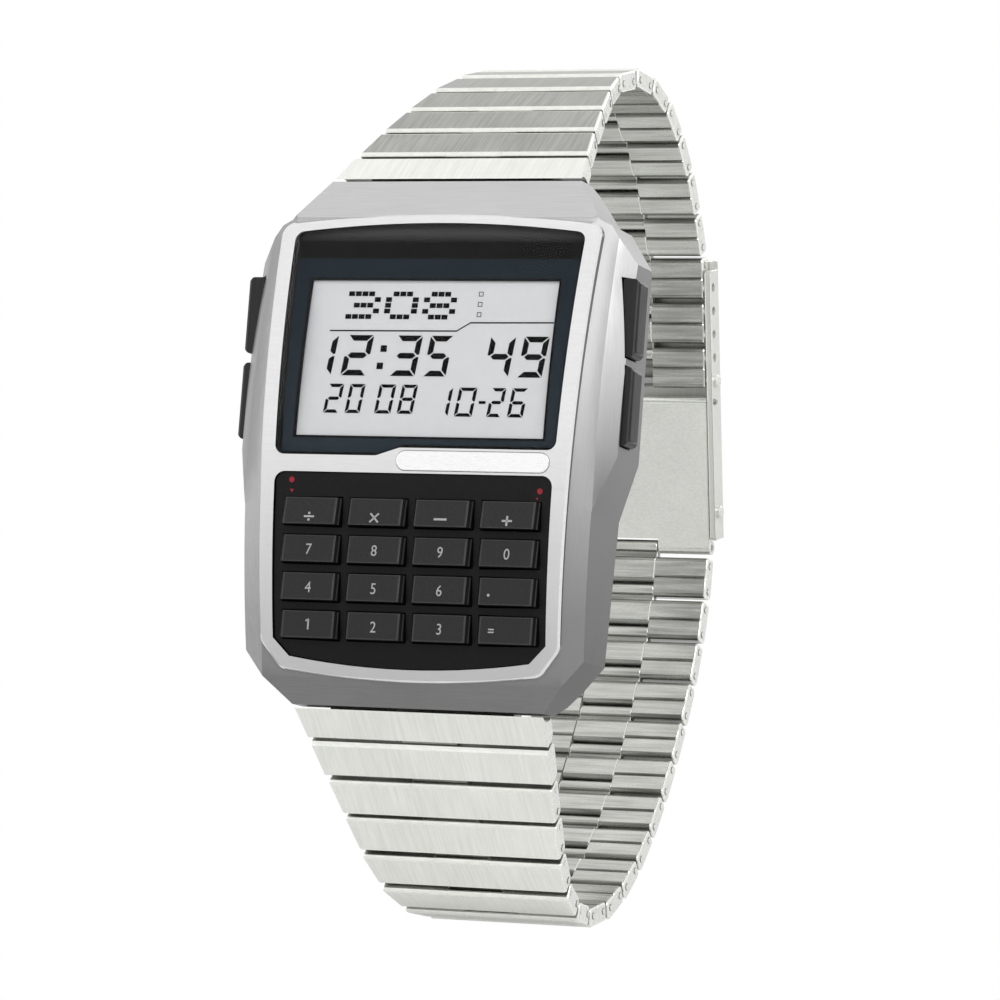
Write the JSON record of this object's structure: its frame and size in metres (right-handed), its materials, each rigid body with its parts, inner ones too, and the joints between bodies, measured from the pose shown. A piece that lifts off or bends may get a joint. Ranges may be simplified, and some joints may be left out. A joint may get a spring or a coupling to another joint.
{
  "type": "calculator watch",
  "caption": "Digital calculator wristwatch with a tapered steel case, display window above a four by four keypad, flank pushers and a folded-link bracelet with fold-over clasp",
  "frame": {"origin": "middle of the case back's outer face", "axes": "+X to three o'clock, +Y from the dial into the wrist, +Z to twelve o'clock"},
  "size_m": [0.0384, 0.0578, 0.0812],
  "materials": {
    "case_steel": "satin grained steel",
    "back_steel": "brushed steel",
    "display_glass": "clear mineral glass",
    "display_print": "slate frame printed behind the glass, black edge",
    "lcd_film": "pale grey-green reflective panel",
    "label_print": "grey oval plate, left blank",
    "panel_paint": "near black panel",
    "contact_rubber": "silicone contact sheet",
    "frame_plastic": "moulded plastic",
    "board_laminate": "green laminate",
    "cell_steel": "nickel plated cell",
    "clip_steel": "sheet spring steel",
    "gasket_rubber": "nitrile ring",
    "screw_steel": "turned steel",
    "bar_steel": "ground steel",
    "link_steel": "satin grain along the band, polished bevels",
    "clasp_steel": "satin grained steel",
    "pin_steel": "ground steel",
    "blade_steel": "satin steel",
    "key_plastic": "slate plastic with white digits",
    "pusher_metal": "dark grey caps"
  },
  "bodies": {
    "case": {"case_body": "case_steel", "display_window": "display_glass", "display_mask": "display_print", "lcd_panel": "lcd_film", "label_plate": "label_print", "keypad_panel": "panel_paint", "keypad_membrane": "contact_rubber", "module_frame": "frame_plastic", "circuit_board": "board_laminate", "battery_cell": "cell_steel", "battery_clip": "clip_steel", "case_back": "back_steel", "back_gasket": "gasket_rubber", "case_back_screws": "screw_steel", "spring_bars": "bar_steel"},
    "upper_band_1": {"upper_links_1": "link_steel"},
    "upper_band_2": {"upper_links_2": "link_steel"},
    "upper_band_3": {"upper_links_3": "link_steel"},
    "upper_band_4": {"upper_links_4": "link_steel"},
    "upper_band_5": {"upper_links_5": "link_steel"},
    "upper_band_6": {"upper_links_6": "link_steel"},
    "upper_band_7": {"upper_links_7": "link_steel"},
    "upper_band_8": {"upper_links_8": "link_steel"},
    "upper_band_9": {"upper_links_9": "link_steel"},
    "clasp_cover": {"clasp_cover": "clasp_steel", "clasp_end_links": "link_steel", "clasp_pins": "pin_steel"},
    "clasp_blade": {"clasp_blade": "blade_steel"},
    "lower_band_1": {"lower_links_1": "link_steel"},
    "lower_band_2": {"lower_links_2": "link_steel"},
    "lower_band_3": {"lower_links_3": "link_steel"},
    "lower_band_4": {"lower_links_4": "link_steel"},
    "lower_band_5": {"lower_links_5": "link_steel"},
    "lower_band_6": {"lower_links_6": "link_steel"},
    "lower_band_7": {"lower_links_7": "link_steel"},
    "lower_band_8": {"lower_links_8": "link_steel"},
    "lower_band_9": {"lower_links_9": "link_steel"},
    "lower_band_10": {"lower_links_10": "link_steel"},
    "lower_band_11": {"lower_links_11": "link_steel"},
    "lower_band_12": {"lower_links_12": "link_steel"},
    "key_divide": {"key_divide": "key_plastic"},
    "key_multiply": {"key_multiply": "key_plastic"},
    "key_minus": {"key_minus": "key_plastic"},
    "key_plus": {"key_plus": "key_plastic"},
    "key_7": {"key_7": "key_plastic"},
    "key_8": {"key_8": "key_plastic"},
    "key_9": {"key_9": "key_plastic"},
    "key_0": {"key_0": "key_plastic"},
    "key_4": {"key_4": "key_plastic"},
    "key_5": {"key_5": "key_plastic"},
    "key_6": {"key_6": "key_plastic"},
    "key_point": {"key_point": "key_plastic"},
    "key_1": {"key_1": "key_plastic"},
    "key_2": {"key_2": "key_plastic"},
    "key_3": {"key_3": "key_plastic"},
    "key_equals": {"key_equals": "key_plastic"},
    "pusher_upper_right": {"pusher_upper_right": "pusher_metal"},
    "pusher_lower_right": {"pusher_lower_right": "pusher_metal"},
    "pusher_upper_left": {"pusher_upper_left": "pusher_metal"},
    "pusher_lower_left": {"pusher_lower_left": "pusher_metal"}
  },
  "joints": [
    {"name": "upper_band_joint_1", "type": "hinge", "parent": "case", "child": "upper_band_1", "pos_m": [0, -0.00245, 0.0227], "axis": [1, 0, 0], "range_deg": [0, 20]},
    {"name": "upper_band_joint_2", "type": "hinge", "parent": "upper_band_1", "child": "upper_band_2", "pos_m": [0, 0.00073, 0.02695], "axis": [1, 0, 0], "range_deg": [0, 3]},
    {"name": "upper_band_joint_3", "type": "hinge", "parent": "upper_band_2", "child": "upper_band_3", "pos_m": [0, 0.00752, 0.03255], "axis": [1, 0, 0], "range_deg": [0, 3]},
    {"name": "upper_band_joint_4", "type": "hinge", "parent": "upper_band_3", "child": "upper_band_4", "pos_m": [0, 0.01112, 0.03507], "axis": [1, 0, 0], "range_deg": [0, 8]},
    {"name": "upper_band_joint_5", "type": "hinge", "parent": "upper_band_4", "child": "upper_band_5", "pos_m": [0, 0.01504, 0.03707], "axis": [1, 0, 0], "range_deg": [0, 10]},
    {"name": "upper_band_joint_6", "type": "hinge", "parent": "upper_band_5", "child": "upper_band_6", "pos_m": [0, 0.01925, 0.03836], "axis": [1, 0, 0], "range_deg": [0, 17]},
    {"name": "upper_band_joint_7", "type": "hinge", "parent": "upper_band_6", "child": "upper_band_7", "pos_m": [0, 0.02365, 0.03836], "axis": [1, 0, 0], "range_deg": [0, 18]},
    {"name": "upper_band_joint_8", "type": "hinge", "parent": "upper_band_7", "child": "upper_band_8", "pos_m": [0, 0.02784, 0.037], "axis": [1, 0, 0], "range_deg": [0, 15]},
    {"name": "upper_band_joint_9", "type": "hinge", "parent": "upper_band_8", "child": "upper_band_9", "pos_m": [0, 0.03474, 0.0316], "axis": [1, 0, 0], "range_deg": [0, 9]},
    {"name": "clasp_cover_joint", "type": "hinge", "parent": "upper_band_9", "child": "clasp_cover", "pos_m": [0, 0.03985, 0.02444], "axis": [1, 0, 0], "range_deg": [0, 18.26]},
    {"name": "clasp_fold", "type": "hinge", "parent": "clasp_cover", "child": "clasp_blade", "pos_m": [0, 0.04293, 0.01135], "axis": [-1, 0, 0], "range_deg": [0, 150]},
    {"name": "lower_band_joint_1", "type": "hinge", "parent": "case", "child": "lower_band_1", "pos_m": [0, -0.00245, -0.0227], "axis": [-1, 0, 0], "range_deg": [0, 20]},
    {"name": "lower_band_joint_2", "type": "hinge", "parent": "lower_band_1", "child": "lower_band_2", "pos_m": [0, 0.00374, -0.0302], "axis": [-1, 0, 0], "range_deg": [0, 1]},
    {"name": "lower_band_joint_3", "type": "hinge", "parent": "lower_band_2", "child": "lower_band_3", "pos_m": [0, 0.01001, -0.03636], "axis": [-1, 0, 0], "range_deg": [0, 9]},
    {"name": "lower_band_joint_4", "type": "hinge", "parent": "lower_band_3", "child": "lower_band_4", "pos_m": [0, 0.01362, -0.03889], "axis": [-1, 0, 0], "range_deg": [0, 16]},
    {"name": "lower_band_joint_5", "type": "hinge", "parent": "lower_band_4", "child": "lower_band_5", "pos_m": [0, 0.01778, -0.04032], "axis": [-1, 0, 0], "range_deg": [0, 17]},
    {"name": "lower_band_joint_6", "type": "hinge", "parent": "lower_band_5", "child": "lower_band_6", "pos_m": [0, 0.02218, -0.04047], "axis": [-1, 0, 0], "range_deg": [0, 16]},
    {"name": "lower_band_joint_7", "type": "hinge", "parent": "lower_band_6", "child": "lower_band_7", "pos_m": [0, 0.02645, -0.03941], "axis": [-1, 0, 0], "range_deg": [0, 16]},
    {"name": "lower_band_joint_8", "type": "hinge", "parent": "lower_band_7", "child": "lower_band_8", "pos_m": [0, 0.03026, -0.03721], "axis": [-1, 0, 0], "range_deg": [0, 11]},
    {"name": "lower_band_joint_9", "type": "hinge", "parent": "lower_band_8", "child": "lower_band_9", "pos_m": [0, 0.03358, -0.03432], "axis": [-1, 0, 0], "range_deg": [0, 8]},
    {"name": "lower_band_joint_10", "type": "hinge", "parent": "lower_band_9", "child": "lower_band_10", "pos_m": [0, 0.03899, -0.0274], "axis": [-1, 0, 0], "range_deg": [0, 5]},
    {"name": "lower_band_joint_11", "type": "hinge", "parent": "lower_band_10", "child": "lower_band_11", "pos_m": [0, 0.04312, -0.01963], "axis": [-1, 0, 0], "range_deg": [0, 4]},
    {"name": "lower_band_joint_12", "type": "hinge", "parent": "lower_band_11", "child": "lower_band_12", "pos_m": [0, 0.04605, -0.01134], "axis": [-1, 0, 0], "range_deg": [0, 7]},
    {"name": "press_key_divide", "type": "slide", "parent": "case", "child": "key_divide", "axis": [0, 1, 0], "range_m": [0, 0.00035], "stiffness_N_per_m": 20},
    {"name": "press_key_multiply", "type": "slide", "parent": "case", "child": "key_multiply", "axis": [0, 1, 0], "range_m": [0, 0.00035], "stiffness_N_per_m": 20},
    {"name": "press_key_minus", "type": "slide", "parent": "case", "child": "key_minus", "axis": [0, 1, 0], "range_m": [0, 0.00035], "stiffness_N_per_m": 20},
    {"name": "press_key_plus", "type": "slide", "parent": "case", "child": "key_plus", "axis": [0, 1, 0], "range_m": [0, 0.00035], "stiffness_N_per_m": 20},
    {"name": "press_key_7", "type": "slide", "parent": "case", "child": "key_7", "axis": [0, 1, 0], "range_m": [0, 0.00035], "stiffness_N_per_m": 20},
    {"name": "press_key_8", "type": "slide", "parent": "case", "child": "key_8", "axis": [0, 1, 0], "range_m": [0, 0.00035], "stiffness_N_per_m": 20},
    {"name": "press_key_9", "type": "slide", "parent": "case", "child": "key_9", "axis": [0, 1, 0], "range_m": [0, 0.00035], "stiffness_N_per_m": 20},
    {"name": "press_key_0", "type": "slide", "parent": "case", "child": "key_0", "axis": [0, 1, 0], "range_m": [0, 0.00035], "stiffness_N_per_m": 20},
    {"name": "press_key_4", "type": "slide", "parent": "case", "child": "key_4", "axis": [0, 1, 0], "range_m": [0, 0.00035], "stiffness_N_per_m": 20},
    {"name": "press_key_5", "type": "slide", "parent": "case", "child": "key_5", "axis": [0, 1, 0], "range_m": [0, 0.00035], "stiffness_N_per_m": 20},
    {"name": "press_key_6", "type": "slide", "parent": "case", "child": "key_6", "axis": [0, 1, 0], "range_m": [0, 0.00035], "stiffness_N_per_m": 20},
    {"name": "press_key_point", "type": "slide", "parent": "case", "child": "key_point", "axis": [0, 1, 0], "range_m": [0, 0.00035], "stiffness_N_per_m": 20},
    {"name": "press_key_1", "type": "slide", "parent": "case", "child": "key_1", "axis": [0, 1, 0], "range_m": [0, 0.00035], "stiffness_N_per_m": 20},
    {"name": "press_key_2", "type": "slide", "parent": "case", "child": "key_2", "axis": [0, 1, 0], "range_m": [0, 0.00035], "stiffness_N_per_m": 20},
    {"name": "press_key_3", "type": "slide", "parent": "case", "child": "key_3", "axis": [0, 1, 0], "range_m": [0, 0.00035], "stiffness_N_per_m": 20},
    {"name": "press_key_equals", "type": "slide", "parent": "case", "child": "key_equals", "axis": [0, 1, 0], "range_m": [0, 0.00035], "stiffness_N_per_m": 20},
    {"name": "press_pusher_upper_right", "type": "slide", "parent": "case", "child": "pusher_upper_right", "axis": [-1, 0, 0], "range_m": [0, 0.0005], "stiffness_N_per_m": 20},
    {"name": "press_pusher_lower_right", "type": "slide", "parent": "case", "child": "pusher_lower_right", "axis": [-1, 0, 0], "range_m": [0, 0.0005], "stiffness_N_per_m": 20},
    {"name": "press_pusher_upper_left", "type": "slide", "parent": "case", "child": "pusher_upper_left", "axis": [1, 0, 0], "range_m": [0, 0.0005], "stiffness_N_per_m": 20},
    {"name": "press_pusher_lower_left", "type": "slide", "parent": "case", "child": "pusher_lower_left", "axis": [1, 0, 0], "range_m": [0, 0.0005], "stiffness_N_per_m": 20}
  ]
}
